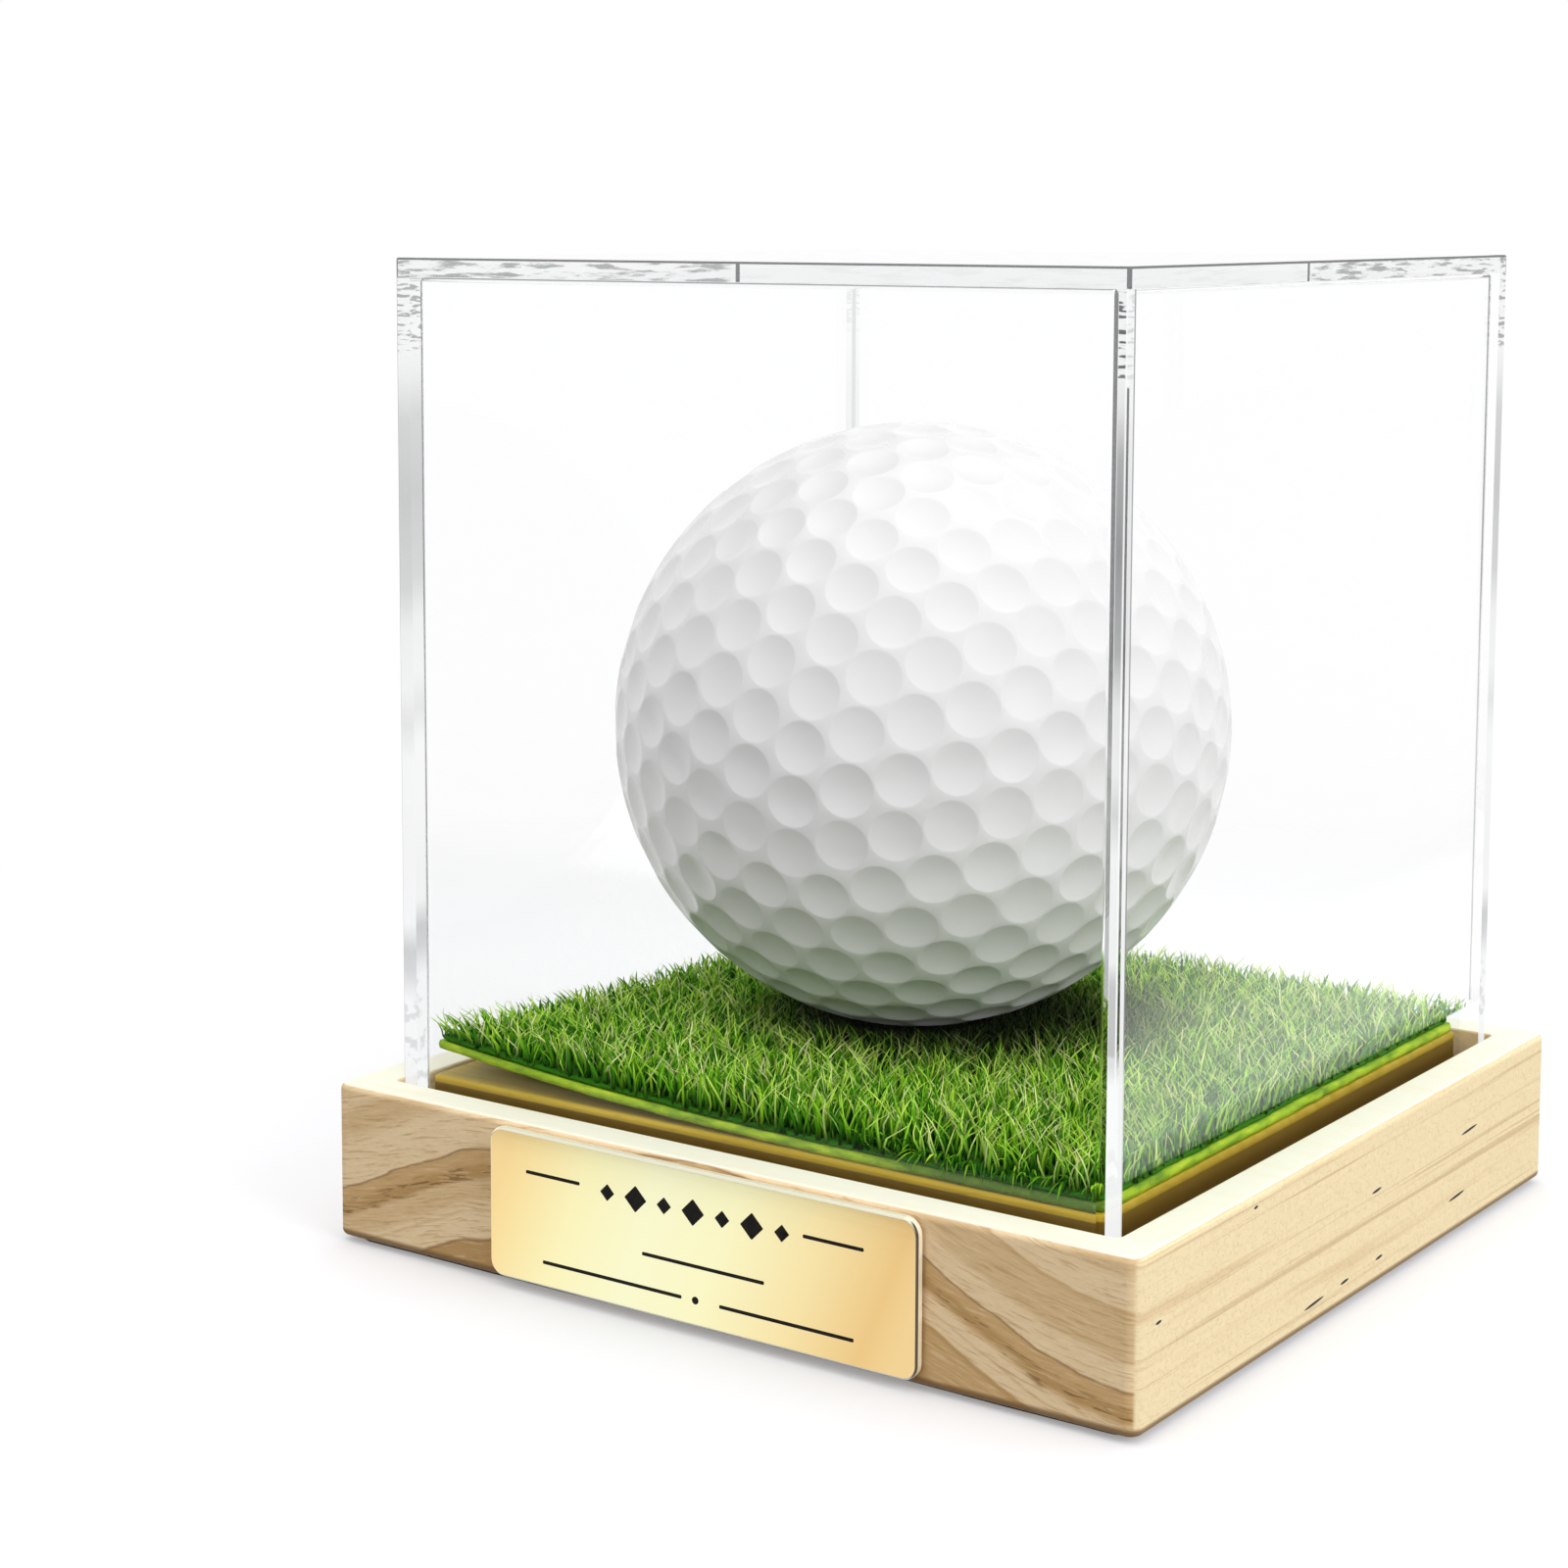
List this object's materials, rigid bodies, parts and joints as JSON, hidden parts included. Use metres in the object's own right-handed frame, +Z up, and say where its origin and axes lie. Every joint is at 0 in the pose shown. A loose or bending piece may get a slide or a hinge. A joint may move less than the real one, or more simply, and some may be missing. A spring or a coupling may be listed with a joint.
{
  "type": "golf ball display case",
  "caption": "Square wooden base with a turf mat and a golf ball under a clear lift-off cover, with a brass plaque on its front.",
  "frame": {"origin": "centre of the underside of the felt, which is the face that the case stands on", "axes": "+Z up, -Y out of the face with the plaque, +X to the right seen from the plaque"},
  "size_m": [0.063, 0.0638, 0.0686],
  "materials": {
    "block_wood": "light wood, satin, open grain",
    "board_wood": "honey-coloured gloss varnish",
    "dark_felt": "thin dark felt",
    "mounting_tape": "double-sided tape",
    "turf_backing": "bright lime-green turf backing",
    "turf_pile": "artificial grass blades in several greens",
    "ball_cover": "white satin gloss, dimpled",
    "clear_acrylic": "clear polished acrylic",
    "plaque_brass": "satin gold-coloured plate with polished edges"
  },
  "bodies": {
    "base": {"base_block": "block_wood", "base_felt": "dark_felt", "plinth_board": "board_wood", "turf_tape": "mounting_tape", "turf_backing": "turf_backing", "turf_pile_front_left": "turf_pile", "turf_pile_front_right": "turf_pile", "turf_pile_back_left": "turf_pile", "turf_pile_back_right": "turf_pile", "plaque": "plaque_brass", "plaque_tape": "mounting_tape"},
    "cover": {"cover_top": "clear_acrylic", "cover_front": "clear_acrylic", "cover_back": "clear_acrylic", "cover_left": "clear_acrylic", "cover_right": "clear_acrylic"},
    "ball": {"golf_ball": "ball_cover"}
  },
  "joints": [
    {"name": "cover_lift", "type": "slide", "parent": "base", "child": "cover", "axis": [0, 0, 1], "range_m": [0, 0.06]},
    {"name": "ball_lift", "type": "slide", "parent": "base", "child": "ball", "axis": [0, 0, 1], "range_m": [0, 0.0095]}
  ]
}
